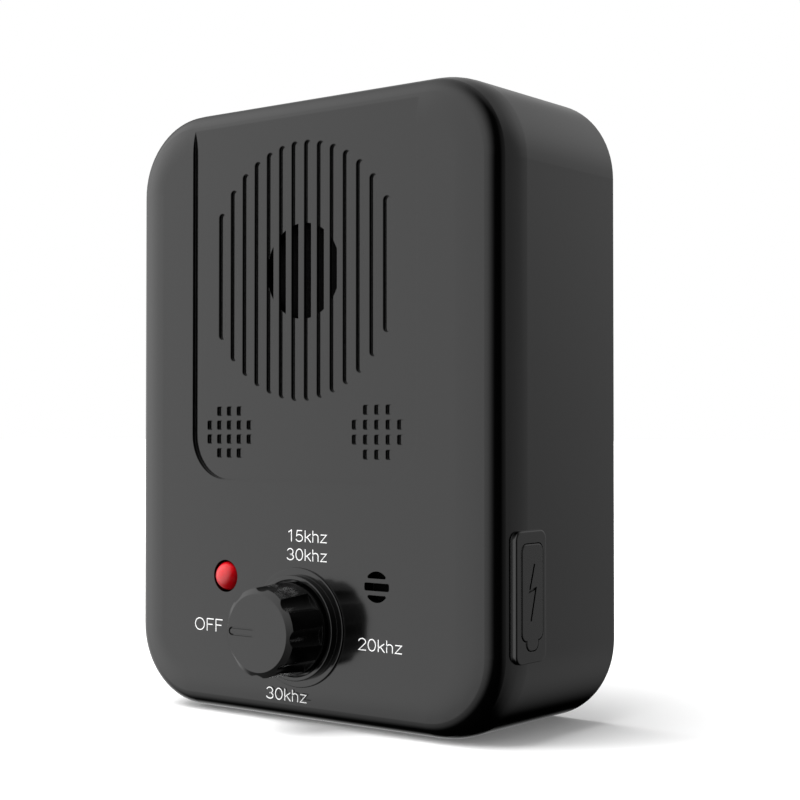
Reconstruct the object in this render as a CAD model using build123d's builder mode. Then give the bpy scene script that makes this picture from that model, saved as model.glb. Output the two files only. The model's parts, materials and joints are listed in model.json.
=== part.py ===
from build123d import *
import os
from math import cos, radians, sin, sqrt

os.makedirs("parts", exist_ok=True)

# Ultrasonic pest repeller: a battery-powered box with a sound grille, a frequency
# knob, an indicator, a microphone and a rubber-covered charging port.
# Frame: +Z up, front towards -Y, +X to the right of someone facing the front.
# The origin is the centre of the housing's bottom face. Millimetres.

# ---------------------------------------------------------------- driving dimensions
WIDTH = 80.0
HEIGHT = 105.4
DEPTH = 34.4
CORNER_R = 14.25       # corners seen from the front
EDGE_REACH = 8.0       # the rounded front edge takes this much of the face and of the side:
EDGE_BROAD_R = 14.0    # a broad arc off the face,
EDGE_BROAD_ANGLE = 20  # turning this far,
EDGE_BROAD_RISE = 1 + sin(radians(EDGE_BROAD_ANGLE)) - cos(radians(EDGE_BROAD_ANGLE))
EDGE_TIGHT_R = ((EDGE_REACH - EDGE_BROAD_R * EDGE_BROAD_RISE)
                / (1 - EDGE_BROAD_RISE))  # a tight one, then the broad arc again into the side
SIDE_WALL = 2.6
FRONT_WALL = 2.2
INNER_R = 5.0
FRONT = -DEPTH / 2
BACK = DEPTH / 2
MIDDLE_Z = HEIGHT / 2

# recessed sound panel
PANEL_HALF = 24.6
PANEL_BOTTOM = 40.5
PANEL_CORNER_R = 7.7
PANEL_DEPTH = 0.62
PANEL_FLOOR = FRONT + PANEL_DEPTH
PANEL_INNER = PANEL_FLOOR + FRONT_WALL
GRILLE_Z = 75.55
GRILLE_R = 21.75
SLOT_COUNT = 14
SLOT_PITCH = 2.787
SLOT_WIDTH = 1.42
SLOT_DEPTH = 0.5
SOFT_EDGE = 0.16       # small radius on moulded slot edges
SPEAKER_HOLE_R = 8.0
DIMPLE_X = 16.25
DIMPLE_Z = 48.65
DIMPLE_PITCH_X = 2.32
DIMPLE_PITCH_Z = 2.40
DIMPLE_ROWS = (3, 5, 5, 3)
DIMPLE_SIZE = (1.35, 1.6)
DIMPLE_DEPTH = 0.5

# controls on the lower front
LED_X = -16.55
VENT_X = 16.55
SMALL_Z = 23.95        # height of the indicator and the microphone vent
LED_R = 2.5
LED_HOLE_R = 2.75
LED_TIP = 1.3          # how far the indicator stands out
VENT_R = 2.5
VENT_BAR = 0.71
VENT_BAR_OFFSET = 0.985
VENT_SOFT_R = 0.25       # rounding of the vent openings' corners
KNOB_Z = 16.35
COLLAR_R = 9.9
COLLAR_STEP_R = 8.7
COLLAR_BORE_R = 7.9
COLLAR_BASE = 0.4
COLLAR_TOP = 1.7
COLLAR_SOFT_R = 0.2
KNOB_REACH = 10.1      # knob face in front of the housing face
KNOB_GAP = 0.5
KNOB_FACE_R = 7.25
KNOB_BASE_R = 7.6
KNOB_BEVEL = 0.95
KNOB_BEVEL_DEPTH = 0.7
KNOB_HOLLOW_R = 6.3
KNOB_SKIRT = 2.2       # plain ring behind the flutes
FLUTE_COUNT = 8
FLUTE_R = 2.3
FLUTE_CUT = 0.5
FLUTE_START = -4.0
POINTER_WIDTH = 1.1
POINTER_LENGTH = 5.1
POINTER_LINE = 0.28
POINTER_DEPTH = 0.3

# rotary switch behind the knob
SHAFT_R = 3.0
SHAFT_CLEARANCE = 0.05
BUSHING_R = 3.5
SWITCH_FRONT = -14.2
SWITCH_SIZE = 13.0
WASHER_R = 5.6
WASHER_T = 0.5
NUT_T = 2.0
NUT_FLATS = 10.0

# charging port on the right side
PORT_PROUD = 0.5
PORT_LOW_Y = FRONT + 4.1
PORT_HIGH_Y = FRONT + 12.6
PORT_LOW_Z = 13.0
PORT_HIGH_Z = 33.5
PORT_R = 1.5
PORT_SOFT_R = 0.3
POCKET_GAP = 0.12
FLAP_LOW_Y = FRONT + 5.5
FLAP_HIGH_Y = FRONT + 11.5
FLAP_LOW_Z = 16.5
FLAP_HIGH_Z = 31.45
FLAP_R = 1.3
FLAP_RELIEF = 0.15     # lets the top edge turn in the pocket
TAB_WIDTH = 3.4
TAB_LOW_Z = 14.9
MARK_WIDTH = 0.4       # engraved charging mark, a plain bolt
MARK_DEPTH = 0.3
MARK_POINTS = ((0.5, 28.3), (-0.9, 24.1), (0.9, 24.5), (-0.5, 19.5))
TAB_LENGTH = 5.0       # most of it lies inside the flap's outline
TAB_R = 1.3
FLAP_INNER_X = WIDTH / 2 + 0.15
FLAP_OUTER_X = WIDTH / 2 + PORT_PROUD + 0.1
FLAP_Y = (FLAP_LOW_Y + FLAP_HIGH_Y) / 2
SOCKET_Y = FRONT + 7.45  # just in front of the circuit board
SOCKET_Z = 24.0
SOCKET_SIZE = (2.6, 7.5)
SOCKET_MOUTH_X = WIDTH / 2 - 0.7
ANCHOR_Z = 30.0
ANCHOR_SIZE = (3.0, 1.4)
ANCHOR_NECK = SIDE_WALL + 0.5

# rear cover
LIP = 1.3
COVER_GAP = 0.15
COVER_T = 2.0
GASKET_T = 0.6
COVER_INNER = BACK - COVER_T
LEDGE = COVER_INNER - GASKET_T
SCREW_X = 32.0
SCREW_Z = 8.0
BOSS_R = 3.2
SCREW_R = 1.15
SCREW_HEAD_R = 2.5
SCREW_HEAD_T = 1.3
SCREW_LENGTH = 11.0
CROSS_LENGTH = 2.6
CROSS_WIDTH = 0.55
CROSS_DEPTH = 0.9
KEY_Z = 80.0
KEY_R = 4.25
KEY_SLOT_HALF = 2.2
KEY_TRAVEL = 8.0
POCKET_DEPTH = 3.2
POCKET_WALL = 1.0

# boards, sounder and battery
BOARD_FRONT = -8.4
BOARD_T = 1.6
BOARD_BACK = BOARD_FRONT + BOARD_T
BOARD_LOW_Z = 5.0
BOARD_HIGH_Z = 58.0
BOARD_LEFT = -34.0
BOARD_RIGHT = 35.3
BOARD_SHOULDER_Z = 13.0
BOARD_FOOT_HALF = 27.0
POSTS = ((-28, 53), (28, 53), (-20, 9), (20, 9))
POST_R = 2.3
BOARD_SCREW_R = 0.85
BOARD_SCREW_HEAD_R = 1.9
BOARD_SCREW_HEAD_T = 1.4
SOUNDER_R = 8.0
SOUNDER_FRONT = -13.8
SOUNDER_BACK = -1.8
SOUNDER_WALL = 0.6
SOUNDER_MOUTH_R = 6.2
SOUNDER_BASE_T = 2.4
SOUNDER_STEM_R = 2.2
SOUNDER_PIN_R = 0.45
SOUNDER_PIN_PITCH = 8.0
MESH_T = 0.4
MESH_HOLE_R = 0.6
MESH_PITCH = 0.9
DISC_R = 5.0
DISC_T = 0.8
DISC_BACK = -7.4
CONE_R = 1.4
CONE_LENGTH = 3.0
CONE_FLARE = 48
SEAT_OUTER_R = 11.8
SEAT_INNER_R = 10.1
SEAT_BACK = -6.0
CLOTH_T = 0.3
BATTERY_SIZE = (34.0, 7.8, 48.0)
BATTERY_Z = 36.0
TAPE_T = 1.0
WIRE_R = 0.6


def facing(y):
    """Sketch plane at depth y: local x is +X, local y is +Z, and it faces the front."""
    return Plane.XZ.offset(-y)


def side(x):
    """Sketch plane at width x: local x is +Y, local y is +Z, and it faces +X."""
    return Plane.YZ.offset(x)


def outline(inset):
    """The housing's front outline, shrunk by inset, drawn in the open sketch."""
    with Locations((0, MIDDLE_Z)):
        RectangleRounded(WIDTH - 2 * inset, HEIGHT - 2 * inset, CORNER_R - inset)


corners = [(sx * SCREW_X, z) for sx in (-1, 1) for z in (SCREW_Z, HEIGHT - SCREW_Z)]

# ---------------------------------------------------------------- front shell
with BuildPart() as cavity:
    with BuildSketch(facing(BACK)):
        outline(SIDE_WALL)
    extrude(amount=DEPTH - FRONT_WALL)
    fillet(faces().sort_by(Axis.Y)[0].edges(), INNER_R)

# everything outside the rounded front edge: four straight runs and four corners
with BuildPart() as edge_cutter:
    for quarter in range(4):
        outward = Vector(1, 0, 0).rotate(Axis.Y, 90 * quarter)
        along = outward.cross(Vector(0, 1, 0))
        half_size, half_run = (WIDTH / 2, HEIGHT / 2) if quarter % 2 == 0 else (HEIGHT / 2, WIDTH / 2)
        centre = Vector(0, 0, MIDDLE_Z)
        corner = centre + outward * (half_size - CORNER_R) + along * (half_run - CORNER_R)
        for start, reach in ((centre, half_size), (corner, CORNER_R)):
            with BuildSketch(Plane(origin=start, x_dir=outward, z_dir=along)):
                with BuildLine():
                    crown = JernArc((reach - EDGE_REACH, FRONT), (1, 0), EDGE_BROAD_R, EDGE_BROAD_ANGLE)
                    turn = JernArc(crown @ 1, crown % 1, EDGE_TIGHT_R, 90 - 2 * EDGE_BROAD_ANGLE)
                    shoulder = JernArc(turn @ 1, turn % 1, EDGE_BROAD_R, EDGE_BROAD_ANGLE)
                    Polyline(shoulder @ 1, (reach + 1, FRONT + EDGE_REACH), (reach + 1, FRONT - 1),
                             (reach - EDGE_REACH, FRONT - 1), crown @ 0)
                make_face()
            if start == centre:
                extrude(amount=half_run - CORNER_R, both=True)
            else:
                revolve(axis=Axis(corner, Vector(0, -1, 0)), revolution_arc=90)

with BuildPart() as front_shell:
    with BuildSketch(facing(BACK)):
        outline(0)
    extrude(amount=DEPTH)
    add(edge_cutter.part, mode=Mode.SUBTRACT)
    # raised frame of the charging port
    with BuildSketch(side(WIDTH / 2 + PORT_PROUD)):
        with Locations(((PORT_LOW_Y + PORT_HIGH_Y) / 2, (PORT_LOW_Z + PORT_HIGH_Z) / 2)):
            RectangleRounded(PORT_HIGH_Y - PORT_LOW_Y, PORT_HIGH_Z - PORT_LOW_Z, PORT_R)
    extrude(amount=-(PORT_PROUD + SIDE_WALL - 0.2))
    fillet(faces().sort_by(Axis.X)[-1].edges(), PORT_SOFT_R)
    # stepped collar round the knob
    with BuildSketch(facing(FRONT)):
        with Locations((0, KNOB_Z)):
            Circle(COLLAR_R)
    extrude(amount=COLLAR_BASE)
    with BuildSketch(facing(FRONT)):
        with Locations((0, KNOB_Z)):
            Circle(COLLAR_STEP_R)
    extrude(amount=COLLAR_TOP)
    with BuildSketch(facing(FRONT)):
        with Locations((0, KNOB_Z)):
            Circle(COLLAR_BORE_R)
    extrude(amount=COLLAR_TOP, mode=Mode.SUBTRACT)
    fillet(edges().filter_by_position(Axis.Y, FRONT - COLLAR_TOP - 0.01, FRONT - COLLAR_TOP + 0.01),
           COLLAR_SOFT_R)
    fillet(edges().filter_by_position(Axis.Y, FRONT - COLLAR_BASE - 0.01, FRONT - COLLAR_BASE + 0.01)
           .group_by(SortBy.LENGTH)[-1], COLLAR_SOFT_R)
    # recessed sound panel, open at the top
    with BuildSketch(facing(PANEL_FLOOR)):
        with Locations((0, PANEL_BOTTOM)):
            Rectangle(2 * PANEL_HALF, HEIGHT, align=(Align.CENTER, Align.MIN))
        fillet(vertices().group_by(Axis.Y)[0], PANEL_CORNER_R)
    extrude(amount=PANEL_DEPTH + 1, mode=Mode.SUBTRACT)
    # hollow inside, with the wall kept full behind the panel
    add(cavity.part, mode=Mode.SUBTRACT)
    with BuildSketch(facing(FRONT + FRONT_WALL)):
        with Locations((0, PANEL_BOTTOM - FRONT_WALL)):
            Rectangle(2 * (PANEL_HALF + FRONT_WALL), HEIGHT - SIDE_WALL - PANEL_BOTTOM + FRONT_WALL,
                      align=(Align.CENTER, Align.MIN))
    extrude(amount=-PANEL_DEPTH)
    # rebate for the gasket and the rear cover
    with BuildSketch(facing(BACK)):
        outline(LIP)
    extrude(amount=COVER_T + GASKET_T, mode=Mode.SUBTRACT)
    # screw bosses in the corners and posts for the circuit board
    with BuildSketch(facing(COVER_INNER)):
        with Locations(*corners):
            Circle(BOSS_R)
    extrude(amount=COVER_INNER - FRONT - FRONT_WALL - 0.8)
    with BuildSketch(facing(COVER_INNER)):
        with Locations(*corners):
            Circle(SCREW_R)
    extrude(amount=SCREW_LENGTH + 1, mode=Mode.SUBTRACT)
    with BuildSketch(facing(BOARD_FRONT)):
        with Locations(*POSTS):
            Circle(POST_R)
    extrude(amount=BOARD_FRONT - FRONT - FRONT_WALL + 0.4)
    with BuildSketch(facing(BOARD_FRONT)):
        with Locations(*POSTS):
            Circle(BOARD_SCREW_R)
    extrude(amount=4.6, mode=Mode.SUBTRACT)
    # round seat behind the panel that holds the sounder's rubber ring
    with BuildSketch(facing(SEAT_BACK)):
        with Locations((0, GRILLE_Z)):
            Circle(SEAT_OUTER_R)
            Circle(SEAT_INNER_R, mode=Mode.SUBTRACT)
    extrude(amount=SEAT_BACK - PANEL_INNER + 0.4)
    # sound slots: grooves in the panel, open only in front of the sounder
    with BuildSketch(facing(PANEL_FLOOR)):
        for slot in range(SLOT_COUNT):
            x = (slot - (SLOT_COUNT - 1) / 2) * SLOT_PITCH
            reach = sqrt(GRILLE_R ** 2 - (abs(x) + SLOT_WIDTH / 2) ** 2)
            with Locations((x, GRILLE_Z)):
                SlotOverall(2 * reach, SLOT_WIDTH, rotation=90)
    extrude(amount=-SLOT_DEPTH, mode=Mode.SUBTRACT)
    slot_rims = edges().filter_by_position(Axis.Y, PANEL_FLOOR - 0.01, PANEL_FLOOR + 0.01)
    slot_rims = slot_rims.filter_by_position(Axis.X, -PANEL_HALF + 2, PANEL_HALF - 2)
    slot_rims = slot_rims.filter_by_position(Axis.Z, PANEL_BOTTOM + 4, HEIGHT - 6)
    fillet(slot_rims, SOFT_EDGE)
    with BuildSketch(facing(PANEL_INNER)):
        with Locations((0, GRILLE_Z)):
            Circle(SPEAKER_HOLE_R)
    extrude(amount=FRONT_WALL - SLOT_DEPTH + 0.05, mode=Mode.SUBTRACT)
    # two clusters of shallow dimples
    with BuildSketch(facing(PANEL_FLOOR)):
        for cluster_x in (-DIMPLE_X, DIMPLE_X):
            for row, count in enumerate(DIMPLE_ROWS):
                z = DIMPLE_Z + ((len(DIMPLE_ROWS) - 1) / 2 - row) * DIMPLE_PITCH_Z
                with Locations((cluster_x, z)):
                    with GridLocations(DIMPLE_PITCH_X, 1, count, 1):
                        RectangleRounded(*DIMPLE_SIZE, 0.3)
    extrude(amount=-DIMPLE_DEPTH, mode=Mode.SUBTRACT)
    # indicator hole, microphone vent and the switch's bushing hole
    with BuildSketch(facing(FRONT)):
        with Locations((LED_X, SMALL_Z)):
            Circle(LED_HOLE_R)
        with Locations((0, KNOB_Z)):
            Circle(BUSHING_R + 0.1)
    extrude(amount=-FRONT_WALL, mode=Mode.SUBTRACT)
    with BuildSketch(facing(FRONT)):
        with Locations((VENT_X, SMALL_Z)):
            Circle(VENT_R)
        for offset_z in (-VENT_BAR_OFFSET, VENT_BAR_OFFSET):
            with Locations((VENT_X, SMALL_Z + offset_z)):
                Rectangle(2 * VENT_R + 1, VENT_BAR, mode=Mode.SUBTRACT)
        fillet(vertices(), VENT_SOFT_R)
    extrude(amount=-FRONT_WALL, mode=Mode.SUBTRACT)
    # pocket for the port flap, hole for the socket and hole for the flap's anchor
    with BuildSketch(side(WIDTH / 2)):
        with Locations(((FLAP_LOW_Y + FLAP_HIGH_Y) / 2, (FLAP_LOW_Z + FLAP_HIGH_Z) / 2)):
            RectangleRounded(FLAP_HIGH_Y - FLAP_LOW_Y + 2 * POCKET_GAP,
                             FLAP_HIGH_Z - FLAP_LOW_Z + 2 * POCKET_GAP, FLAP_R + POCKET_GAP)
        with Locations(((FLAP_LOW_Y + FLAP_HIGH_Y) / 2, TAB_LOW_Z - POCKET_GAP + TAB_LENGTH / 2)):
            RectangleRounded(TAB_WIDTH + 2 * POCKET_GAP, TAB_LENGTH, TAB_R + POCKET_GAP)
    extrude(amount=PORT_PROUD + 1, mode=Mode.SUBTRACT)
    with BuildSketch(side(WIDTH / 2)):
        with Locations((SOCKET_Y, SOCKET_Z)):
            RectangleRounded(SOCKET_SIZE[0] + 0.6, SOCKET_SIZE[1] + 0.6, 1.0)
        with Locations((SOCKET_Y, ANCHOR_Z)):
            Rectangle(*ANCHOR_SIZE)
    extrude(amount=-(SIDE_WALL + 1), mode=Mode.SUBTRACT)
front_shell.part.label = "front_shell"

# ---------------------------------------------------------------- rear cover and gasket
with BuildPart() as housing_gasket:
    with BuildSketch(facing(LEDGE)):
        outline(LIP + 0.1)
        with Locations((0, MIDDLE_Z)):
            RectangleRounded(WIDTH - 4.4, HEIGHT - 4.4, CORNER_R - 2.2, mode=Mode.SUBTRACT)
    extrude(amount=-GASKET_T)
housing_gasket.part.label = "housing_gasket"

with BuildPart() as rear_cover:
    with BuildSketch(facing(COVER_INNER)):
        outline(LIP + COVER_GAP)
    extrude(amount=-COVER_T)
    fillet(faces().sort_by(Axis.Y)[-1].edges(), 0.4)
    # closed pocket behind the hanger hole, so that the box stays sealed
    pocket_z = KEY_Z + KEY_TRAVEL / 2
    with BuildSketch(facing(COVER_INNER)):
        with Locations((0, pocket_z)):
            RectangleRounded(2 * (KEY_R + 0.75 + POCKET_WALL), KEY_TRAVEL + 2 * (KEY_R + POCKET_WALL + 0.5), 2)
    extrude(amount=POCKET_DEPTH + POCKET_WALL)
    with BuildSketch(facing(COVER_INNER)):
        with Locations((0, pocket_z)):
            RectangleRounded(2 * (KEY_R + 0.75), KEY_TRAVEL + 2 * (KEY_R + 0.5), 1)
    extrude(amount=POCKET_DEPTH, mode=Mode.SUBTRACT)
    # keyhole: a round entry below a narrow slot
    with BuildSketch(facing(BACK)):
        with Locations((0, KEY_Z)):
            Circle(KEY_R)
            Rectangle(2 * KEY_SLOT_HALF, KEY_TRAVEL, align=(Align.CENTER, Align.MIN))
        with Locations((0, KEY_Z + KEY_TRAVEL)):
            Circle(KEY_SLOT_HALF)
    extrude(amount=COVER_T, mode=Mode.SUBTRACT)
    with Locations(Plane(origin=(0, BACK, 0), x_dir=(1, 0, 0), z_dir=(0, 1, 0))):
        with Locations(*[(x, -z) for x, z in corners]):
            CounterSinkHole(SCREW_R + 0.15, SCREW_HEAD_R + 0.2, depth=COVER_T, counter_sink_angle=90)
rear_cover.part.label = "rear_cover"

with BuildPart() as rear_screws:
    with BuildSketch(facing(BACK - 0.15)):
        with Locations(*corners):
            Circle(SCREW_HEAD_R)
    extrude(amount=SCREW_HEAD_T, taper=44)
    with BuildSketch(facing(BACK - 0.15)):
        with Locations(*corners):
            Circle(SCREW_R)
    extrude(amount=SCREW_LENGTH)
    with BuildSketch(facing(BACK - 0.15)):
        with Locations(*corners):
            Rectangle(CROSS_LENGTH, CROSS_WIDTH)
            Rectangle(CROSS_WIDTH, CROSS_LENGTH)
    extrude(amount=CROSS_DEPTH, mode=Mode.SUBTRACT)
rear_screws.part.label = "rear_screws"

# ---------------------------------------------------------------- ultrasonic sounder
with BuildPart() as dust_cloth:
    with BuildSketch(facing(PANEL_INNER + CLOTH_T)):
        with Locations((0, GRILLE_Z)):
            Circle(SEAT_INNER_R - 0.1)
    extrude(amount=CLOTH_T)
dust_cloth.part.label = "dust_cloth"

with BuildPart() as sounder_ring:
    with BuildSketch(facing(SEAT_BACK)):
        with Locations((0, GRILLE_Z)):
            Circle(SEAT_INNER_R)
            Circle(SOUNDER_R, mode=Mode.SUBTRACT)
    extrude(amount=SEAT_BACK - PANEL_INNER - CLOTH_T)
sounder_ring.part.label = "sounder_ring"

with BuildPart() as sounder_case:
    with BuildSketch(facing(SOUNDER_BACK)):
        with Locations((0, GRILLE_Z)):
            Circle(SOUNDER_R)
    extrude(amount=SOUNDER_BACK - SOUNDER_FRONT)
    fillet(faces().sort_by(Axis.Y)[0].edges(), 0.5)
    with BuildSketch(facing(SOUNDER_BACK)):
        with Locations((0, GRILLE_Z)):
            Circle(SOUNDER_R - SOUNDER_WALL)
    extrude(amount=SOUNDER_BACK - SOUNDER_FRONT - SOUNDER_WALL, mode=Mode.SUBTRACT)
    with BuildSketch(facing(SOUNDER_BACK)):
        with Locations((0, GRILLE_Z)):
            Circle(SOUNDER_MOUTH_R)
    extrude(amount=SOUNDER_BACK - SOUNDER_FRONT, mode=Mode.SUBTRACT)
sounder_case.part.label = "sounder_case"

with BuildPart() as sounder_mesh:
    mesh_y = SOUNDER_FRONT + SOUNDER_WALL
    with BuildSketch(facing(mesh_y + MESH_T)):
        with Locations((0, GRILLE_Z)):
            Circle(SOUNDER_R - SOUNDER_WALL)
            with HexLocations(MESH_PITCH, 7, 7):
                Circle(MESH_HOLE_R, mode=Mode.SUBTRACT)
    extrude(amount=MESH_T)
sounder_mesh.part.label = "sounder_mesh"

with BuildPart() as sounder_cone:
    with BuildSketch(facing(DISC_BACK - DISC_T)):
        with Locations((0, GRILLE_Z)):
            Circle(CONE_R)
    extrude(amount=CONE_LENGTH, taper=-CONE_FLARE)
sounder_cone.part.label = "sounder_cone"

with BuildPart() as piezo_disc:
    with BuildSketch(facing(DISC_BACK)):
        with Locations((0, GRILLE_Z)):
            Circle(DISC_R)
    extrude(amount=DISC_T)
piezo_disc.part.label = "piezo_disc"

with BuildPart() as sounder_base:
    with BuildSketch(facing(SOUNDER_BACK)):
        with Locations((0, GRILLE_Z)):
            Circle(SOUNDER_R - SOUNDER_WALL)
            with GridLocations(SOUNDER_PIN_PITCH, 1, 2, 1):
                Circle(SOUNDER_PIN_R, mode=Mode.SUBTRACT)
    extrude(amount=SOUNDER_BASE_T)
    with BuildSketch(facing(SOUNDER_BACK - SOUNDER_BASE_T)):
        with Locations((0, GRILLE_Z)):
            Circle(SOUNDER_STEM_R)
    extrude(amount=SOUNDER_BACK - SOUNDER_BASE_T - DISC_BACK)
sounder_base.part.label = "sounder_base"

with BuildPart() as sounder_pins:
    with BuildSketch(facing(SOUNDER_BACK - 3.4)):
        with Locations((0, GRILLE_Z)):
            with GridLocations(SOUNDER_PIN_PITCH, 1, 2, 1):
                Circle(SOUNDER_PIN_R)
    extrude(amount=-7.0)
sounder_pins.part.label = "sounder_pins"

# ---------------------------------------------------------------- circuit board
led_leads_at = [(LED_X - 1.27, SMALL_Z), (LED_X + 1.27, SMALL_Z)]
mic_leads_at = [(VENT_X - 1.27, SMALL_Z), (VENT_X + 1.27, SMALL_Z)]
switch_pins_at = [(x, KNOB_Z - 8.2) for x in (-5, -2.5, 0, 2.5, 5)]

with BuildPart() as main_board:
    with BuildSketch(facing(BOARD_BACK)):
        with Locations((0, BOARD_LOW_Z)):
            Rectangle(2 * BOARD_FOOT_HALF, BOARD_HIGH_Z - BOARD_LOW_Z, align=(Align.CENTER, Align.MIN))
        with Locations((BOARD_LEFT, BOARD_SHOULDER_Z)):
            Rectangle(BOARD_RIGHT - BOARD_LEFT, BOARD_HIGH_Z - BOARD_SHOULDER_Z, align=(Align.MIN, Align.MIN))
        with Locations(*POSTS):
            Circle(1.1, mode=Mode.SUBTRACT)
        with Locations(*led_leads_at, *mic_leads_at, *switch_pins_at):
            Circle(0.45, mode=Mode.SUBTRACT)
    extrude(amount=BOARD_T)
main_board.part.label = "main_board"

with BuildPart() as board_screws:
    with BuildSketch(facing(BOARD_BACK)):
        with Locations(*POSTS):
            Circle(BOARD_SCREW_HEAD_R)
    extrude(amount=-BOARD_SCREW_HEAD_T)
    fillet(faces().filter_by(Axis.Y).group_by(Axis.Y)[-1].edges(), 0.5)
    with BuildSketch(facing(BOARD_BACK)):
        with Locations(*POSTS):
            Circle(BOARD_SCREW_R)
    extrude(amount=6.0)
    with BuildSketch(facing(BOARD_BACK + BOARD_SCREW_HEAD_T)):
        with Locations(*POSTS):
            Rectangle(2.0, 0.5)
            Rectangle(0.5, 2.0)
    extrude(amount=0.7, mode=Mode.SUBTRACT)
board_screws.part.label = "board_screws"

with BuildPart() as control_chip:
    with BuildSketch(facing(BOARD_BACK)):
        with Locations((0, 32)):
            Rectangle(10.0, 4.0)
    extrude(amount=-1.6)
    with BuildSketch(facing(BOARD_BACK)):
        with Locations((0, 32)):
            with GridLocations(1.27, 5.0, 8, 2):
                Rectangle(0.4, 1.0)
    extrude(amount=-0.5)
control_chip.part.label = "control_chip"

with BuildPart() as charge_chip:
    with BuildSketch(facing(BOARD_BACK)):
        with Locations((25, 24)):
            Rectangle(4.9, 3.9)
    extrude(amount=-1.5)
    with BuildSketch(facing(BOARD_BACK)):
        with Locations((25, 24)):
            with GridLocations(1.27, 4.8, 4, 2):
                Rectangle(0.4, 0.9)
    extrude(amount=-0.5)
charge_chip.part.label = "charge_chip"

with BuildPart() as drive_transistors:
    with BuildSketch(facing(BOARD_BACK)):
        with Locations((-12, 32), (-22, 32)):
            Rectangle(6.5, 3.5)
    extrude(amount=-1.6)
drive_transistors.part.label = "drive_transistors"

with BuildPart() as chip_parts:
    with BuildSketch(facing(BOARD_BACK)):
        with Locations((0, 24.5)):
            with GridLocations(3.2, 3.0, 9, 2):
                Rectangle(2.0, 1.25)
    extrude(amount=-0.6)
chip_parts.part.label = "chip_parts"

with BuildPart() as capacitors:
    with BuildSketch(facing(BOARD_BACK)):
        with Locations((12, 47), (20, 47), (20, 39)):
            Circle(3.15)
    extrude(amount=-8.0)
    fillet(faces().filter_by(Axis.Y).group_by(Axis.Y)[-1].edges(), 0.4)
capacitors.part.label = "capacitors"

with BuildPart() as transformer_core:
    with BuildSketch(facing(BOARD_BACK)):
        with Locations((-14, 46)):
            Rectangle(13.0, 11.0)
            Rectangle(9.0, 8.0, mode=Mode.SUBTRACT)
            Rectangle(3.0, 9.0)
    extrude(amount=-7.0)
transformer_core.part.label = "transformer_core"

with BuildPart() as transformer_coil:
    with BuildSketch(facing(BOARD_BACK + 0.5)):
        with Locations((-14, 46)):
            RectangleRounded(8.6, 7.6, 1.5)
            Rectangle(3.2, 8.0, mode=Mode.SUBTRACT)
    extrude(amount=-6.0)
transformer_coil.part.label = "transformer_coil"

# ---------------------------------------------------------------- indicator and microphone
LED_BACK = FRONT - LED_TIP + 8.6
with BuildPart() as led_lens:
    with BuildSketch(facing(LED_BACK)):
        with Locations((LED_X, SMALL_Z)):
            Circle(LED_R)
    extrude(amount=8.6)
    fillet(faces().sort_by(Axis.Y)[0].edges(), LED_R - 0.02)
    with BuildSketch(facing(LED_BACK)):
        with Locations((LED_X, SMALL_Z)):
            Circle(2.9)
    extrude(amount=1.0)
led_lens.part.label = "led_lens"

with BuildPart() as led_leads:
    with BuildSketch(facing(LED_BACK)):
        with Locations(*led_leads_at):
            Rectangle(0.5, 0.5)
    extrude(amount=-(BOARD_BACK - LED_BACK + 1.0))
led_leads.part.label = "led_leads"

with BuildPart() as microphone_boot:
    with BuildSketch(facing(FRONT + FRONT_WALL)):
        with Locations((VENT_X, SMALL_Z)):
            Circle(4.2)
            Circle(VENT_R, mode=Mode.SUBTRACT)
    extrude(amount=-1.0)
    with BuildSketch(facing(FRONT + FRONT_WALL + 1.0)):
        with Locations((VENT_X, SMALL_Z)):
            Circle(4.2)
            Circle(3.0, mode=Mode.SUBTRACT)
    extrude(amount=-4.0)
microphone_boot.part.label = "microphone_boot"

with BuildPart() as microphone_capsule:
    with BuildSketch(facing(FRONT + FRONT_WALL + 1.0)):
        with Locations((VENT_X, SMALL_Z)):
            Circle(3.0)
    extrude(amount=-4.5)
microphone_capsule.part.label = "microphone_capsule"

with BuildPart() as microphone_pins:
    with BuildSketch(facing(FRONT + FRONT_WALL + 5.5)):
        with Locations(*mic_leads_at):
            Circle(0.3)
    extrude(amount=-(BOARD_BACK + 1.0 - FRONT - FRONT_WALL - 5.5))
microphone_pins.part.label = "microphone_pins"

# ---------------------------------------------------------------- rotary switch and knob
BUSHING_TIP = FRONT - WASHER_T - NUT_T - 0.5
SHAFT_TIP = FRONT - KNOB_REACH + 1.6
SHAFT_BACK = -10.8
FLAT_START = BUSHING_TIP - 0.6
FLAT_OFFSET = 1.5

with BuildPart() as switch_body:
    with BuildSketch(facing(BOARD_FRONT)):
        with Locations((0, KNOB_Z)):
            RectangleRounded(SWITCH_SIZE, SWITCH_SIZE, 0.8)
    extrude(amount=BOARD_FRONT - SWITCH_FRONT)
    with BuildSketch(facing(SHAFT_BACK + 0.2)):
        with Locations((0, KNOB_Z)):
            Circle(SHAFT_R + SHAFT_CLEARANCE)
    extrude(amount=SHAFT_BACK + 0.2 - SWITCH_FRONT, mode=Mode.SUBTRACT)
switch_body.part.label = "switch_body"

with BuildPart() as switch_pins:
    with BuildSketch(facing(BOARD_FRONT - 1.5)):
        with Locations(*switch_pins_at):
            Rectangle(0.6, 0.6)
    extrude(amount=-(BOARD_T + 2.5))
    with BuildSketch(facing(BOARD_FRONT - 1.5)):
        with Locations((0, KNOB_Z - 7.6)):
            with GridLocations(2.5, 1, 5, 1):
                Rectangle(0.6, 2.2)
    extrude(amount=0.6)
switch_pins.part.label = "switch_pins"

with BuildPart() as switch_bushing:
    with BuildSketch(facing(SWITCH_FRONT)):
        with Locations((0, KNOB_Z)):
            Circle(BUSHING_R)
            Circle(SHAFT_R + SHAFT_CLEARANCE, mode=Mode.SUBTRACT)
    extrude(amount=SWITCH_FRONT - BUSHING_TIP)
switch_bushing.part.label = "switch_bushing"

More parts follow.
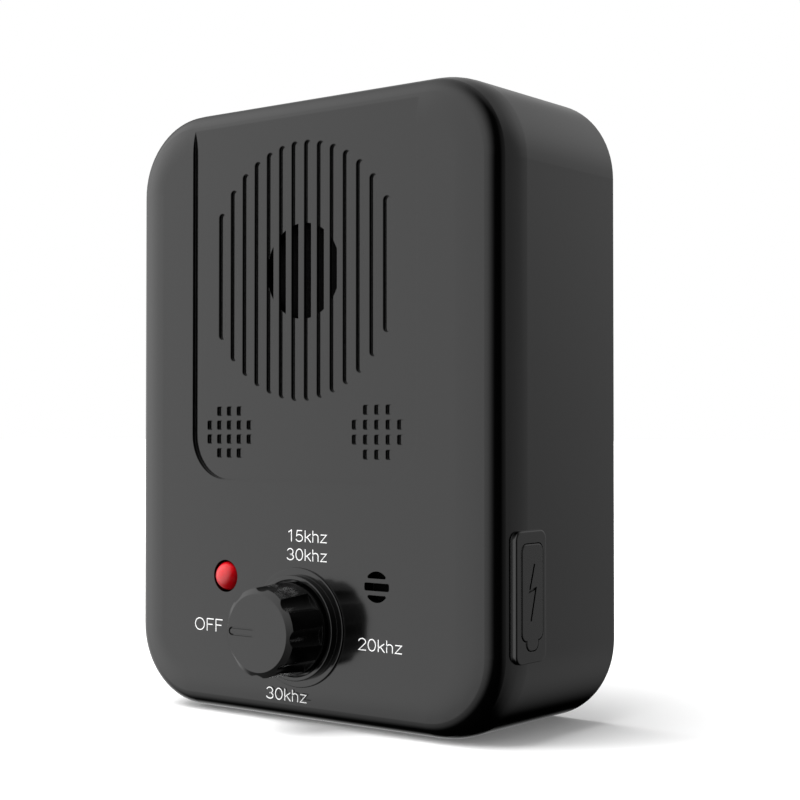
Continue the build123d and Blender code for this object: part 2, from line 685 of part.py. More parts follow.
with BuildPart() as switch_washer:
    with BuildSketch(facing(FRONT)):
        with Locations((0, KNOB_Z)):
            Circle(WASHER_R)
            Circle(BUSHING_R, mode=Mode.SUBTRACT)
    extrude(amount=WASHER_T)
switch_washer.part.label = "switch_washer"

with BuildPart() as switch_nut:
    with BuildSketch(facing(FRONT - WASHER_T)):
        with Locations((0, KNOB_Z)):
            RegularPolygon(NUT_FLATS / 2, 6, major_radius=False)
            Circle(BUSHING_R, mode=Mode.SUBTRACT)
    extrude(amount=NUT_T)
switch_nut.part.label = "switch_nut"

with BuildPart() as switch_shaft:
    with BuildSketch(facing(SHAFT_BACK)):
        with Locations((0, KNOB_Z)):
            Circle(SHAFT_R)
    extrude(amount=SHAFT_BACK - SHAFT_TIP)
    with BuildSketch(facing(FLAT_START)):
        with Locations((0, KNOB_Z + FLAT_OFFSET)):
            Rectangle(2 * SHAFT_R, SHAFT_R, align=(Align.CENTER, Align.MIN))
    extrude(amount=FLAT_START - SHAFT_TIP, mode=Mode.SUBTRACT)
switch_shaft.part.label = "switch_shaft"

KNOB_FACE = FRONT - KNOB_REACH
KNOB_BACK = FRONT - KNOB_GAP
POINTER_TIP_X = -KNOB_FACE_R + KNOB_BEVEL + 0.3

with BuildPart() as control_knob:
    # turned body: straight skirt, slight taper and a bevelled face
    with BuildSketch(Plane.XY.offset(KNOB_Z)):
        with BuildLine():
            Polyline((0, KNOB_BACK), (KNOB_BASE_R, KNOB_BACK), (KNOB_BASE_R, KNOB_BACK - KNOB_SKIRT),
                     (KNOB_FACE_R, KNOB_FACE + KNOB_BEVEL_DEPTH),
                     (KNOB_FACE_R - KNOB_BEVEL, KNOB_FACE), (0, KNOB_FACE), close=True)
        make_face()
    revolve(axis=Axis((0, 0, KNOB_Z), (0, 1, 0)))
    # eight scalloped flutes that run out above the skirt
    with BuildSketch(facing(KNOB_BACK - KNOB_SKIRT)):
        with Locations((0, KNOB_Z)):
            with PolarLocations(KNOB_FACE_R - FLUTE_CUT + FLUTE_R, FLUTE_COUNT, start_angle=FLUTE_START):
                Circle(FLUTE_R)
    extrude(amount=KNOB_BACK - KNOB_SKIRT - KNOB_FACE, mode=Mode.SUBTRACT)
    # pointer at the nine o'clock side: a line engraved round a narrow tongue
    with BuildSketch(facing(KNOB_FACE)):
        with BuildLine():
            bend_x = POINTER_TIP_X + POINTER_WIDTH / 2
            end_x = POINTER_TIP_X + POINTER_LENGTH
            upper = KNOB_Z + POINTER_WIDTH / 2
            lower = KNOB_Z - POINTER_WIDTH / 2
            Line((end_x, upper), (bend_x, upper))
            ThreePointArc((bend_x, upper), (POINTER_TIP_X, KNOB_Z), (bend_x, lower))
            Line((bend_x, lower), (end_x, lower))
        trace(line_width=POINTER_LINE)
    extrude(amount=-POINTER_DEPTH, mode=Mode.SUBTRACT)
    # hollow that clears the nut, and the bore that grips the shaft
    with BuildSketch(facing(KNOB_BACK)):
        with Locations((0, KNOB_Z)):
            Circle(KNOB_HOLLOW_R)
    extrude(amount=KNOB_BACK - FLAT_START, mode=Mode.SUBTRACT)
    with BuildSketch(facing(FLAT_START)):
        with Locations((0, KNOB_Z)):
            Circle(SHAFT_R)
        with Locations((0, KNOB_Z + FLAT_OFFSET)):
            Rectangle(2 * SHAFT_R, SHAFT_R, align=(Align.CENTER, Align.MIN), mode=Mode.SUBTRACT)
    extrude(amount=FLAT_START - SHAFT_TIP + 0.2, mode=Mode.SUBTRACT)
control_knob.part.label = "control_knob"

# ---------------------------------------------------------------- charging port
SOCKET_BACK_X = SOCKET_MOUTH_X - 5.4
with BuildPart() as usb_socket_shell:
    with BuildSketch(side(SOCKET_BACK_X)):
        with Locations((SOCKET_Y, SOCKET_Z)):
            RectangleRounded(*SOCKET_SIZE, 0.7)
    extrude(amount=SOCKET_MOUTH_X - SOCKET_BACK_X)
    with BuildSketch(side(SOCKET_BACK_X + 0.6)):
        with Locations((SOCKET_Y, SOCKET_Z)):
            RectangleRounded(SOCKET_SIZE[0] - 0.6, SOCKET_SIZE[1] - 0.6, 0.5)
    extrude(amount=SOCKET_MOUTH_X - SOCKET_BACK_X - 0.6, mode=Mode.SUBTRACT)
usb_socket_shell.part.label = "usb_socket_shell"

with BuildPart() as usb_socket_tongue:
    with BuildSketch(side(SOCKET_BACK_X + 0.6)):
        with Locations((SOCKET_Y, SOCKET_Z)):
            Rectangle(0.7, 4.2)
    extrude(amount=4.0)
usb_socket_tongue.part.label = "usb_socket_tongue"

with BuildPart() as port_flap:
    with BuildSketch(side(FLAP_INNER_X)):
        with Locations(((FLAP_LOW_Y + FLAP_HIGH_Y) / 2, (FLAP_LOW_Z + FLAP_HIGH_Z) / 2)):
            RectangleRounded(FLAP_HIGH_Y - FLAP_LOW_Y, FLAP_HIGH_Z - FLAP_LOW_Z, FLAP_R)
        with Locations(((FLAP_LOW_Y + FLAP_HIGH_Y) / 2, TAB_LOW_Z + TAB_LENGTH / 2)):
            RectangleRounded(TAB_WIDTH, TAB_LENGTH, TAB_R)
    extrude(amount=FLAP_OUTER_X - FLAP_INNER_X)
    fillet(faces().sort_by(Axis.X)[-1].edges(), 0.25)
    top_inner = edges().filter_by_position(Axis.X, FLAP_INNER_X - 0.01, FLAP_INNER_X + 0.01)
    chamfer(top_inner.filter_by(Axis.Y).sort_by(Axis.Z)[-1], FLAP_RELIEF)
    # engraved charging mark
    with BuildSketch(side(FLAP_OUTER_X)):
        with BuildLine():
            Polyline(*[(FLAP_Y + y, z) for y, z in MARK_POINTS])
        trace(line_width=MARK_WIDTH)
    extrude(amount=-MARK_DEPTH, mode=Mode.SUBTRACT)
    # plug that closes the socket's mouth
    with BuildSketch(side(FLAP_INNER_X)):
        with Locations((SOCKET_Y, SOCKET_Z)):
            RectangleRounded(1.6, 6.4, 0.5)
    extrude(amount=-(FLAP_INNER_X - SOCKET_MOUTH_X + 0.5))
port_flap.part.label = "port_flap"

with BuildPart() as flap_anchor:
    with BuildSketch(side(WIDTH / 2)):
        with Locations((SOCKET_Y, ANCHOR_Z)):
            Rectangle(*ANCHOR_SIZE)
    extrude(amount=-ANCHOR_NECK)
    with BuildSketch(side(WIDTH / 2 - ANCHOR_NECK)):
        with Locations((SOCKET_Y, ANCHOR_Z)):
            RectangleRounded(ANCHOR_SIZE[0] + 1, ANCHOR_SIZE[1] + 1, 0.4)
    extrude(amount=-1.4)
flap_anchor.part.label = "flap_anchor"

# ---------------------------------------------------------------- battery and wiring
BATTERY_BACK = COVER_INNER - TAPE_T
BATTERY_FRONT = BATTERY_BACK - BATTERY_SIZE[1]
BATTERY_TOP = BATTERY_Z + BATTERY_SIZE[2] / 2
with BuildPart() as battery_cell:
    with BuildSketch(facing(BATTERY_BACK)):
        with Locations((0, BATTERY_Z)):
            RectangleRounded(BATTERY_SIZE[0], BATTERY_SIZE[2], 2)
    extrude(amount=BATTERY_SIZE[1])
    fillet(faces().filter_by(Axis.Y).edges(), 1.2)
battery_cell.part.label = "battery_cell"

with BuildPart() as battery_tape:
    with BuildSketch(facing(COVER_INNER)):
        with Locations((-9, BATTERY_Z), (9, BATTERY_Z)):
            Rectangle(9, 40)
    extrude(amount=TAPE_T)
battery_tape.part.label = "battery_tape"

with BuildPart() as battery_board:
    with BuildSketch(facing(BATTERY_BACK - 3.0)):
        with Locations((0, BATTERY_TOP)):
            Rectangle(22, 3.0, align=(Align.CENTER, Align.MIN))
    extrude(amount=1.0)
battery_board.part.label = "battery_board"

HEADER_X = -28.0
HEADER_Z = 22.0
with BuildPart() as battery_header:
    with BuildSketch(facing(BOARD_BACK)):
        with Locations((HEADER_X, HEADER_Z)):
            Rectangle(6.0, 4.6)
    extrude(amount=-5.0)
    with BuildSketch(facing(BOARD_BACK + 5.0)):
        with Locations((HEADER_X, HEADER_Z)):
            Rectangle(5.0, 3.6)
    extrude(amount=4.0, mode=Mode.SUBTRACT)
battery_header.part.label = "battery_header"

with BuildPart() as battery_plug:
    with BuildSketch(facing(BOARD_BACK + 6.5)):
        with Locations((HEADER_X, HEADER_Z)):
            Rectangle(4.9, 3.5)
    extrude(amount=5.4)
battery_plug.part.label = "battery_plug"

LEAD_Y = BATTERY_BACK - 3.0 + WIRE_R
battery_routes = []
for step, pin_x in ((0, HEADER_X + 0.8), (1.5, HEADER_X - 0.8)):
    top = BATTERY_TOP + 0.9 + step
    left = -21 - step
    low = HEADER_Z - 0.6 + step
    battery_routes.append(((-11, LEAD_Y, top), (left, LEAD_Y, top), (left, LEAD_Y, low),
                           (pin_x, LEAD_Y, low), (pin_x, BOARD_BACK + 6.5, low)))
with BuildPart() as battery_leads:
    for route in battery_routes:
        with BuildLine() as wire:
            FilletPolyline(*route, radius=2.5)
        with BuildSketch(Plane(origin=route[0], z_dir=(-1, 0, 0))):
            Circle(WIRE_R)
        sweep(path=wire.line)
battery_leads.part.label = "battery_leads"

SOCKET_HEAD_Z = 55.0
with BuildPart() as sounder_header:
    with BuildSketch(facing(BOARD_BACK)):
        with Locations((0, SOCKET_HEAD_Z)):
            Rectangle(6.0, 4.6)
    extrude(amount=-3.0)
sounder_header.part.label = "sounder_header"

sounder_routes = []
for sx in (-1, 1):
    sounder_routes.append(((sx * 4, SOUNDER_BACK + 3.6, GRILLE_Z), (sx * 4, SOUNDER_BACK + 7, GRILLE_Z),
                           (sx * 4, SOUNDER_BACK + 7, 66), (sx * 1.6, SOUNDER_BACK + 3, 60),
                           (sx * 1.6, SOUNDER_BACK + 3, SOCKET_HEAD_Z),
                           (sx * 1.6, BOARD_BACK + 3, SOCKET_HEAD_Z)))
with BuildPart() as sounder_leads:
    for route in sounder_routes:
        with BuildLine() as wire:
            FilletPolyline(*route, radius=1.6)
        with BuildSketch(Plane(origin=route[0], z_dir=(0, 1, 0))):
            Circle(WIRE_R)
        sweep(path=wire.line)
sounder_leads.part.label = "sounder_leads"

# ---------------------------------------------------------------- one file per piece
pieces = (front_shell, rear_cover, housing_gasket, rear_screws, dust_cloth, sounder_ring,
          sounder_case, sounder_mesh, sounder_cone, piezo_disc, sounder_base, sounder_pins,
          sounder_header, sounder_leads, main_board, board_screws, control_chip, charge_chip,
          drive_transistors, chip_parts, capacitors, transformer_core, transformer_coil,
          led_lens, led_leads, microphone_boot, microphone_capsule, microphone_pins,
          switch_body, switch_pins, switch_bushing, switch_washer, switch_nut, switch_shaft,
          control_knob, usb_socket_shell, usb_socket_tongue, port_flap, flap_anchor,
          battery_cell, battery_tape, battery_board, battery_header, battery_plug, battery_leads)
for piece in pieces:
    export_step(piece.part, f"parts/{piece.part.label}.step")
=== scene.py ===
"""Ultrasonic pest repeller: the looks and the studio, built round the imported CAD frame."""
import json
import math

import bmesh
import bpy
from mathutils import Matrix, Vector


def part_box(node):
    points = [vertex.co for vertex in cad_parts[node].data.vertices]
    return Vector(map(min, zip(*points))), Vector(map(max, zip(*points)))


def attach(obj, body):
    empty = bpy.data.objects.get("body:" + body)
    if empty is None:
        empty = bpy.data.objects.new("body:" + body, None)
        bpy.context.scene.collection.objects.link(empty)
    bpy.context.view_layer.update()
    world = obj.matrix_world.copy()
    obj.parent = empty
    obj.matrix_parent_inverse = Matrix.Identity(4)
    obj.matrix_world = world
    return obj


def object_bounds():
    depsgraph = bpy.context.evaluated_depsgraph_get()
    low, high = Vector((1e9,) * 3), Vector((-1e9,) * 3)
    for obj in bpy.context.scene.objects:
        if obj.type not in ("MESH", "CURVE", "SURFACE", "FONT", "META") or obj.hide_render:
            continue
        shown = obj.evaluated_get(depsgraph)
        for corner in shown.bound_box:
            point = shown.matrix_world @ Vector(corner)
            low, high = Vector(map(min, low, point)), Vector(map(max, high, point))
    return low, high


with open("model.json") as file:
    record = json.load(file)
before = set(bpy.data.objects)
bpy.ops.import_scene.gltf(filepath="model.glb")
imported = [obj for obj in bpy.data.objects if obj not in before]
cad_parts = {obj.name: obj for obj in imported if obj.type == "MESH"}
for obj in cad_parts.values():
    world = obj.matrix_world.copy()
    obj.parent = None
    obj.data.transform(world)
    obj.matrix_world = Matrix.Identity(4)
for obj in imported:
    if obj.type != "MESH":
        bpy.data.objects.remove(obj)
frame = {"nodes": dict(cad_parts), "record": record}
cad_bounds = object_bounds()

MM = 0.001
scene = bpy.context.scene
scene.view_settings.view_transform = "Standard"
scene.view_settings.look = "None"


# ---------------------------------------------------------------- places, all from the CAD
def middle(node_name):
    """Centre of a CAD node's box."""
    low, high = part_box(node_name)
    return (Vector(low) + Vector(high)) / 2


FRONT_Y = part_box("switch_washer")[1].y      # the washer lies on the housing's front face
dial = middle("switch_washer")


# ---------------------------------------------------------------- camera
LENS_MM = 72.41
SENSOR_MM = 36.0
CAMERA_PLACE = Vector((176.22, -218.41, 48.97)) * MM
CAMERA_AIM = Vector((8.02, 0.0, 54.15)) * MM

camera_data = bpy.data.cameras.new("camera")
camera_data.lens = LENS_MM
camera_data.sensor_width = SENSOR_MM
camera_data.clip_start = 0.01
camera_data.clip_end = 50.0
camera = bpy.data.objects.new("camera", camera_data)
scene.collection.objects.link(camera)
camera.location = CAMERA_PLACE
camera.rotation_euler = (CAMERA_AIM - CAMERA_PLACE).to_track_quat("-Z", "Y").to_euler()
scene.camera = camera


# ---------------------------------------------------------------- material helpers
def new_material(name, color, roughness, **sockets):
    """A Principled material. Every constant is set on the shader's own socket."""
    material = bpy.data.materials.new(name)
    material.use_nodes = True
    shader = material.node_tree.nodes["Principled BSDF"]
    shader.inputs["Base Color"].default_value = (*color, 1)
    shader.inputs["Roughness"].default_value = roughness
    for socket, value in sockets.items():
        shader.inputs[socket.replace("_", " ")].default_value = value
    material.diffuse_color = (*color, 1)
    return material


def node(owner, kind, **values):
    """A node in a material or world: capitalised values are sockets, the others are properties."""
    made = owner.node_tree.nodes.new(kind)
    for key, value in values.items():
        if key[0].isupper():
            made.inputs[key.replace("_", " ")].default_value = value
        else:
            setattr(made, key, value)
    return made


def wire(owner, source, target):
    """Link an output to an input in a material or world."""
    owner.node_tree.links.new(source, target)


# ---------------------------------------------------------------- finishes of the sub-parts
GRAIN_DETAIL = 3.0
GRAIN_ROUGHNESS = 0.55
GRAIN_RANGE = (0.3, 0.7)    # nearly all of the noise lies between these values
TINT_SPREAD = 14            # colour patches are this many times larger than the grain
TINT_DETAIL = 2.0
BEVEL_SAMPLES = 6
materials = {}


def finish(slot, color, rough, grain_mm, bump_mm, tint=None, soft_edge_mm=None, **sockets):
    """A slot's material, with fine noise as a bump and as a slight change of roughness.

    rough is the range of the roughness. tint, where given, is two colours that it wanders between.
    soft_edge_mm, where given, makes moulded edges look rounded over that width.
    """
    material = new_material("finish_" + slot, color, sum(rough) / 2, **sockets)
    shader = material.node_tree.nodes["Principled BSDF"]
    place = node(material, "ShaderNodeTexCoord").outputs["Object"]
    fine = node(material, "ShaderNodeTexNoise", Scale=1 / (grain_mm * MM), Detail=GRAIN_DETAIL,
                Roughness=GRAIN_ROUGHNESS)
    wire(material, place, fine.inputs["Vector"])
    raised = node(material, "ShaderNodeBump", Strength=1.0, Distance=bump_mm * MM)
    wire(material, fine.outputs["Fac"], raised.inputs["Height"])
    wire(material, raised.outputs["Normal"], shader.inputs["Normal"])
    if soft_edge_mm:
        rounded = node(material, "ShaderNodeBevel", samples=BEVEL_SAMPLES, Radius=soft_edge_mm * MM)
        wire(material, rounded.outputs["Normal"], raised.inputs["Normal"])
    ramp = node(material, "ShaderNodeMapRange", From_Min=GRAIN_RANGE[0], From_Max=GRAIN_RANGE[1],
                To_Min=rough[0], To_Max=rough[1])
    wire(material, fine.outputs["Fac"], ramp.inputs["Value"])
    wire(material, ramp.outputs["Result"], shader.inputs["Roughness"])
    if tint:
        broad = node(material, "ShaderNodeTexNoise", Scale=1 / (TINT_SPREAD * grain_mm * MM),
                     Detail=TINT_DETAIL)
        wire(material, place, broad.inputs["Vector"])
        mix = node(material, "ShaderNodeMix", data_type="RGBA")
        mix.inputs["A"].default_value = (*tint[0], 1)
        mix.inputs["B"].default_value = (*tint[1], 1)
        wire(material, broad.outputs["Fac"], mix.inputs["Factor"])
        wire(material, mix.outputs["Result"], shader.inputs["Base Color"])
    materials[slot] = material


# the housing and what is seen on it
finish("shell_plastic", (0.001, 0.001, 0.001), (0.12, 0.14), 0.30, 0.0003, soft_edge_mm=0.10)
finish("knob_plastic", (0.001, 0.001, 0.001), (0.14, 0.18), 0.30, 0.0004, soft_edge_mm=0.06)
finish("flap_rubber", (0.002, 0.002, 0.002), (0.23, 0.29), 0.25, 0.0010, soft_edge_mm=0.06)
finish("led_epoxy", (0.50, 0.003, 0.008), (0.20, 0.25), 1.20, 0.001,
       Subsurface_Weight=0.35, Subsurface_Scale=0.0012, Coat_Weight=0.3)
finish("white_ink", (0.82, 0.82, 0.82), (0.50, 0.62), 0.10, 0.002,
       tint=((0.78, 0.78, 0.78), (0.86, 0.86, 0.86)))
finish("screw_steel", (0.50, 0.50, 0.51), (0.26, 0.42), 0.25, 0.002, Metallic=1.0)
finish("seal_rubber", (0.020, 0.020, 0.021), (0.64, 0.76), 0.30, 0.006)
# the sounder
finish("sounder_aluminium", (0.75, 0.75, 0.76), (0.28, 0.42), 0.40, 0.002, Metallic=1.0)
finish("piezo_ceramic", (0.55, 0.50, 0.42), (0.50, 0.62), 0.30, 0.002)
finish("phenolic", (0.075, 0.060, 0.050), (0.48, 0.62), 0.35, 0.006)
# the circuit board and what stands on it
finish("board_laminate", (0.015, 0.13, 0.05), (0.24, 0.38), 0.60, 0.004,
       tint=((0.012, 0.115, 0.042), (0.020, 0.155, 0.062)), Coat_Weight=0.4)
finish("tinned_wire", (0.72, 0.72, 0.70), (0.28, 0.44), 0.30, 0.003, Metallic=1.0)
finish("chip_epoxy", (0.025, 0.025, 0.027), (0.54, 0.68), 0.20, 0.004)
finish("chip_ceramic", (0.45, 0.33, 0.22), (0.45, 0.58), 0.20, 0.002)
finish("capacitor_sleeve", (0.035, 0.045, 0.10), (0.24, 0.34), 0.50, 0.003)
finish("ferrite", (0.085, 0.085, 0.090), (0.58, 0.74), 0.30, 0.010)
finish("coil_copper", (0.62, 0.26, 0.11), (0.24, 0.38), 0.25, 0.010, Metallic=1.0)
finish("capsule_metal", (0.55, 0.55, 0.56), (0.34, 0.48), 0.25, 0.003, Metallic=1.0)
finish("nickel", (0.66, 0.63, 0.58), (0.18, 0.28), 0.30, 0.001, Metallic=1.0)
finish("socket_plastic", (0.030, 0.030, 0.030), (0.46, 0.56), 0.20, 0.003)
# the battery and the wiring
finish("cell_foil", (0.66, 0.67, 0.69), (0.24, 0.38), 1.50, 0.020, Metallic=1.0)
finish("foam_tape", (0.10, 0.10, 0.10), (0.86, 0.95), 0.30, 0.030)
finish("connector_nylon", (0.78, 0.77, 0.72), (0.40, 0.52), 0.30, 0.003)
finish("wire_insulation", (0.30, 0.015, 0.015), (0.30, 0.42), 0.60, 0.003)

CLOTH_COLOR = (0.0016, 0.0016, 0.0016)
CLOTH_PITCH = 0.35 * MM
CLOTH_RELIEF = 0.06 * MM
CLOTH_GAP_PAINTED_SHADE = 0.4            # painted shade: how bright the gaps between the threads are, next to the threads
BAND_SCALE = 0.315          # a wave texture of this scale repeats about once in each unit of length


def cloth(slot):
    """Plain-weave cloth: two crossed sets of threads, as bump and as colour, where the colour is painted
    shade that darkens the gaps between the threads.
    """
    material = new_material("finish_" + slot, CLOTH_COLOR, 0.9, Specular_IOR_Level=0.1)
    shader = material.node_tree.nodes["Principled BSDF"]
    place = node(material, "ShaderNodeTexCoord").outputs["Object"]
    crossed = node(material, "ShaderNodeMath", operation="MAXIMUM")
    for direction, height in zip(("X", "Z"), crossed.inputs):
        threads = node(material, "ShaderNodeTexWave", bands_direction=direction,
                       Scale=BAND_SCALE / CLOTH_PITCH, Distortion=0.4, Detail=1.0)
        wire(material, place, threads.inputs["Vector"])
        wire(material, threads.outputs["Fac"], height)
    raised = node(material, "ShaderNodeBump", Strength=0.8, Distance=CLOTH_RELIEF)
    wire(material, crossed.outputs["Value"], raised.inputs["Height"])
    wire(material, raised.outputs["Normal"], shader.inputs["Normal"])
    # painted shade: the colour is darker in the gaps between the threads, where the bump is low
    painted_gap_shade = node(material, "ShaderNodeMix", data_type="RGBA")
    painted_gap_shade.inputs["A"].default_value = (*[part * CLOTH_GAP_PAINTED_SHADE for part in CLOTH_COLOR], 1)
    painted_gap_shade.inputs["B"].default_value = (*CLOTH_COLOR, 1)
    wire(material, crossed.outputs["Value"], painted_gap_shade.inputs["Factor"])
    wire(material, painted_gap_shade.outputs["Result"], shader.inputs["Base Color"])
    materials[slot] = material


cloth("black_cloth")

slot_of = {part["node"]: part["material_slot"] for part in frame["record"]["subparts"]}
for name, piece in frame["nodes"].items():
    for used in piece.material_slots:
        used.material = materials[slot_of[name]]


def new_object(name, made, material):
    """Turn a finished bmesh into an object of one material in the scene."""
    mesh = bpy.data.meshes.new(name)
    made.to_mesh(mesh)
    made.free()
    mesh.materials.append(material)
    placed = bpy.data.objects.new(name, mesh)
    scene.collection.objects.link(placed)
    return placed


# ---------------------------------------------------------------- printed dial markings
STROKE = 0.17 * MM          # width of a printed line
INK = 0.012 * MM            # thickness of the ink
INK_LIFT = 0.3 * INK        # keeps the ink's back off the plastic
CLOSEST = 0.01 * MM         # points of a stroke that are closer than this are one point
SAME_POINT = 0.001          # a stroke whose ends are this close, next to its height, is closed
ARC_STEP = 12               # degrees
SHARPEST = 0.5              # limits how far a stroke's corner is drawn out


def arc(x, y, x_radius, y_radius, start, end):
    """Points of an elliptical stroke, with angles in degrees from +X."""
    steps = max(6, int(abs(end - start) / ARC_STEP))
    turns = [math.radians(start + (end - start) * step / steps) for step in range(steps + 1)]
    return [(x + x_radius * math.cos(turn), y + y_radius * math.sin(turn)) for turn in turns]


# each letter's width and strokes, drawn with a height of 1
LETTERS = {
    "O": (0.84, [arc(0.38, 0.50, 0.34, 0.47, 0, 360)]),
    "F": (0.66, [[(0.09, 0.0), (0.09, 0.97), (0.58, 0.97)], [(0.09, 0.53), (0.50, 0.53)]]),
    "0": (0.58, [arc(0.27, 0.49, 0.22, 0.46, 0, 360)]),
    "1": (0.58, [[(0.13, 0.76), (0.33, 0.95), (0.33, 0.0)]]),
    "2": (0.58, [arc(0.27, 0.70, 0.21, 0.25, 172, -25) + [(0.06, 0.04), (0.50, 0.04)]]),
    "3": (0.58, [arc(0.25, 0.71, 0.19, 0.24, 165, -85) + arc(0.25, 0.26, 0.22, 0.23, 85, -165)]),
    "5": (0.58, [[(0.46, 0.93), (0.14, 0.93), (0.08, 0.48)] + arc(0.26, 0.32, 0.22, 0.28, 135, -160)]),
    "k": (0.50, [[(0.08, 0.0), (0.08, 0.97)], [(0.43, 0.68), (0.08, 0.30)], [(0.20, 0.42), (0.45, 0.0)]]),
    "h": (0.54, [[(0.08, 0.0), (0.08, 0.97)], arc(0.25, 0.47, 0.17, 0.20, 180, 0) + [(0.42, 0.0)]]),
    "z": (0.48, [[(0.05, 0.66), (0.42, 0.66), (0.04, 0.04), (0.44, 0.04)]]),
}


def print_stroke(made, points):
    """One stroke of ink: a thin flat bar along the points, lying on the front face."""
    last_index = len(points) - 1
    closed = points[0] == points[-1]
    sides = []
    for index, point in enumerate(points):
        before = Vector(points[max(0, index - 1)])
        after = Vector(points[min(last_index, index + 1)])
        here = Vector(point)
        first = (here - before).normalized() if index else (after - here).normalized()
        last = (after - here).normalized() if index < last_index else first
        along = (first + last).normalized()
        if closed and index in (0, last_index):
            along = Vector((0, 1))
        spread = STROKE / 2 / max(SHARPEST, along.dot(first))
        across = Vector((-along.y, along.x)) * spread
        sides.append([made.verts.new((flat.x, FRONT_Y - depth, flat.y))
                      for flat in (here - across, here + across) for depth in (INK_LIFT, INK_LIFT + INK)])
    for one, two in zip(sides, sides[1:]):
        for a, b in ((0, 1), (1, 3), (3, 2), (2, 0)):
            made.faces.new((one[a], one[b], two[b], two[a]))
    for end in (sides[0], sides[-1]):
        made.faces.new((end[0], end[1], end[3], end[2]))


def label(name, text, left, low, width, height):
    """Printed lettering on the front: its lower left corner and size are in mm from the dial's centre."""
    full = sum(LETTERS[letter][0] for letter in text)
    made = bmesh.new()
    start = 0.0
    for letter in text:
        advance, strokes = LETTERS[letter]
        for stroke in strokes:
            points = []
            for x, y in stroke:
                place = (dial.x + (left + (start + x) / full * width) * MM, dial.z + (low + y * height) * MM)
                if not points or math.dist(place, points[-1]) > CLOSEST:
                    points.append(place)
            if math.dist(stroke[0], stroke[-1]) < SAME_POINT:
                points[-1] = points[0]
            print_stroke(made, points)
        start += advance
    bmesh.ops.recalc_face_normals(made, faces=made.faces)
    printed = new_object(name, made, materials["white_ink"])
    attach(printed, "housing")


# name, text, left, low, width, height
DIAL_LABELS = (("label_off", "OFF", -23.9, -2.10, 6.9, 2.15),
               ("label_top", "15khz", -2.6, 14.15, 8.9, 2.0),
               ("label_second", "30khz", -2.6, 11.05, 8.9, 2.0),
               ("label_right", "20khz", 12.7, -2.65, 9.1, 2.0),
               ("label_bottom", "30khz", -7.15, -12.35, 9.1, 2.0))
for entry in DIAL_LABELS:
    label(*entry)


# ---------------------------------------------------------------- painted shade: a black disc behind the microphone vent
SHADE_DISC_R = 2.9 * MM
SHADE_DISC_RISE = 0.8 * MM
SHADE_DISC_RIM = 6                # power of the outline: a higher one is flatter, with a tighter rim
SHADE_DISC_RINGS = 10
SHADE_DISC_SPOKES = 48


def painted_shade_disc(name):
    """A near-black disc in front of the microphone capsule, nearly flat, with a rounded rim: painted shade
    that makes the vent's holes look dark.
    """
    centre = middle("microphone_capsule")
    seat_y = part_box("microphone_capsule")[0].y
    made = bmesh.new()
    loops = []
    for ring in range(1, SHADE_DISC_RINGS + 1):
        share = ring / SHADE_DISC_RINGS
        rise = SHADE_DISC_RISE * math.sqrt(1 - share ** SHADE_DISC_RIM)
        turns = [2 * math.pi * spoke / SHADE_DISC_SPOKES for spoke in range(SHADE_DISC_SPOKES)]
        loops.append([made.verts.new((centre.x + SHADE_DISC_R * share * math.cos(turn),
                                      seat_y - rise,
                                      centre.z + SHADE_DISC_R * share * math.sin(turn))) for turn in turns])
    tip = made.verts.new((centre.x, seat_y - SHADE_DISC_RISE, centre.z))
    back = made.verts.new((centre.x, seat_y, centre.z))
    for spoke in range(SHADE_DISC_SPOKES):
        after = (spoke + 1) % SHADE_DISC_SPOKES
        made.faces.new((tip, loops[0][spoke], loops[0][after]))
        made.faces.new((back, loops[-1][after], loops[-1][spoke]))
        for inner, outer in zip(loops, loops[1:]):
            made.faces.new((inner[spoke], outer[spoke], outer[after], inner[after]))
    bmesh.ops.recalc_face_normals(made, faces=made.faces)
    # painted shade: the disc takes the near-black cloth finish, so the vent's holes look dark
    shade_disc = new_object(name, made, materials["black_cloth"])
    for face in shade_disc.data.polygons:
        face.use_smooth = True
    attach(shade_disc, "housing")


# painted shade: a black disc that darkens the microphone vent's holes
painted_shade_disc("microphone_painted_shade_disc")


# ---------------------------------------------------------------- floor
FLOOR_REACH = 6.0           # metres

floor_grid = bmesh.new()
bmesh.ops.create_grid(floor_grid, x_segments=1, y_segments=1, size=FLOOR_REACH)
floor = new_object("floor", floor_grid,
                   new_material("floor_white", (0.8, 0.8, 0.8), 0.9, Specular_IOR_Level=0.0,
                                Emission_Color=(1, 1, 1, 1), Emission_Strength=0.12))
floor.location.z = cad_bounds[0][2]
# it takes shadows, and lights and mirrors in nothing
floor.visible_diffuse = False
floor.visible_glossy = False
floor.visible_transmission = False
floor.visible_shadow = False


# ---------------------------------------------------------------- lamps
def towards(azimuth, elevation):
    """Direction to a light, in degrees; azimuth is 0 in front of the object and grows to its right."""
    turn = math.radians(azimuth)
    rise = math.radians(elevation)
    return Vector((math.sin(turn) * math.cos(rise), -math.cos(turn) * math.cos(rise), math.sin(rise)))


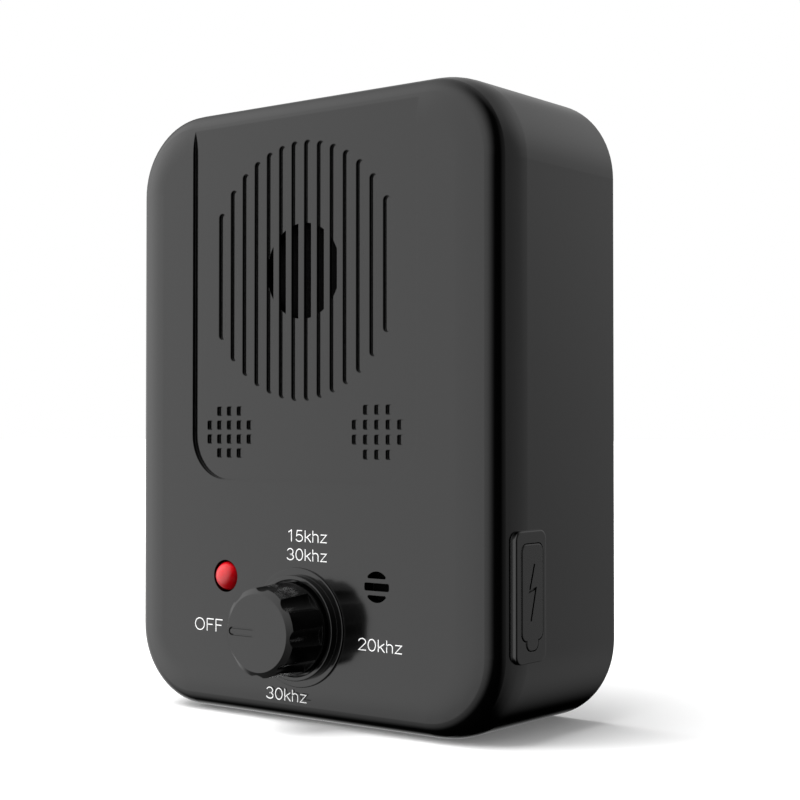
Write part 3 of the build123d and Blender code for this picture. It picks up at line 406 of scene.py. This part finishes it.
def sun(name, azimuth, elevation, strength, softness):
    """A distant lamp that lights matt surfaces only, so it leaves no spot on the glossy ones."""
    data = bpy.data.lights.new(name, "SUN")
    data.energy = strength
    data.angle = math.radians(softness)
    lamp = bpy.data.objects.new(name, data)
    scene.collection.objects.link(lamp)
    lamp.rotation_euler = (-towards(azimuth, elevation)).to_track_quat("-Z", "Y").to_euler()
    lamp.visible_glossy = False


sun("key", azimuth=-40, elevation=25, strength=1.0, softness=20.0)
sun("top", azimuth=-48, elevation=68, strength=3.6, softness=55.0)


# ---------------------------------------------------------------- surroundings
# soft round light panels: azimuth and elevation, radius at full strength, radius where it ends, strength
PANELS = ((-33, 17, 25, 88, 1.72),
          (140, 4, 20, 62, 0.44),
          (-122, -14, 5, 34, 0.65),
          (185, 40, 20, 60, 0.40))
WHITE = (1, 1, 1, 1)

world = bpy.data.worlds.new("studio")
scene.world = world
world.use_nodes = True
world.node_tree.nodes.clear()
sky = node(world, "ShaderNodeTexCoord").outputs["Generated"]
light = None
for azimuth, elevation, full, end, strength in PANELS:
    aim = node(world, "ShaderNodeVectorMath", operation="DOT_PRODUCT")
    aim.inputs[1].default_value = towards(azimuth, elevation)
    wire(world, sky, aim.inputs[0])
    panel = node(world, "ShaderNodeMapRange", interpolation_type="SMOOTHSTEP",
                 From_Min=math.cos(math.radians(end)), From_Max=math.cos(math.radians(full)),
                 To_Min=0.0, To_Max=strength)
    wire(world, aim.outputs["Value"], panel.inputs["Value"])
    if light is None:
        light = panel.outputs["Result"]
    else:
        total = node(world, "ShaderNodeMath", operation="ADD")
        wire(world, light, total.inputs[0])
        wire(world, panel.outputs["Result"], total.inputs[1])
        light = total.outputs["Value"]

# the camera sees plain white, and everything else is lit by the panels
studio = node(world, "ShaderNodeBackground", Color=WHITE)
wire(world, light, studio.inputs["Strength"])
backdrop = node(world, "ShaderNodeBackground", Color=WHITE)
rays = node(world, "ShaderNodeLightPath")
either = node(world, "ShaderNodeMixShader")
wire(world, rays.outputs["Is Camera Ray"], either.inputs[0])
wire(world, studio.outputs["Background"], either.inputs[1])
wire(world, backdrop.outputs["Background"], either.inputs[2])
wire(world, either.outputs["Shader"], node(world, "ShaderNodeOutputWorld").inputs["Surface"])
